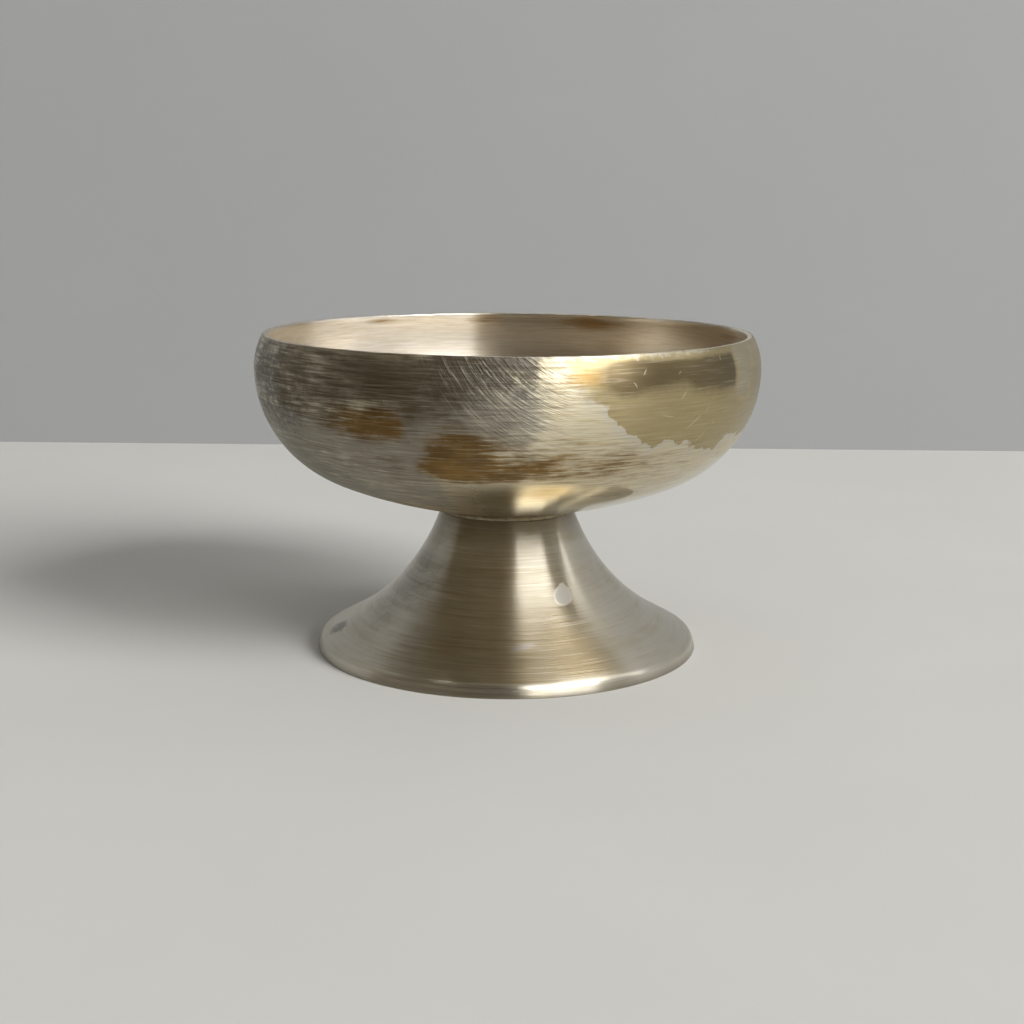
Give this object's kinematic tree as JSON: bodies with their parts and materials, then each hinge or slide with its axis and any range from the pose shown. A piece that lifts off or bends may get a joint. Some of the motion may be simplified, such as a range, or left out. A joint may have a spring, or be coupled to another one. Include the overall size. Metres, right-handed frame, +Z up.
{
  "type": "offering bowl",
  "caption": "Round footed offering bowl in spun, silver-plated brass: a wide bowl with a drawn-in rim, soldered to a hollow trumpet foot that stands it on a table or altar.",
  "frame": {"origin": "on the table, under the middle of the foot", "axes": "+Z up along the axis of the bowl and the foot; -Y faces the picture's camera"},
  "size_m": [0.11, 0.11, 0.07],
  "materials": {
    "silver_plated_brass": "worn silver plate over spun brass, satin, with fine lines round the axis",
    "soft_solder": "dull tarnished solder"
  },
  "bodies": {
    "root": {"bowl": "silver_plated_brass", "foot": "silver_plated_brass", "solder_joint": "soft_solder"}
  },
  "joints": []
}
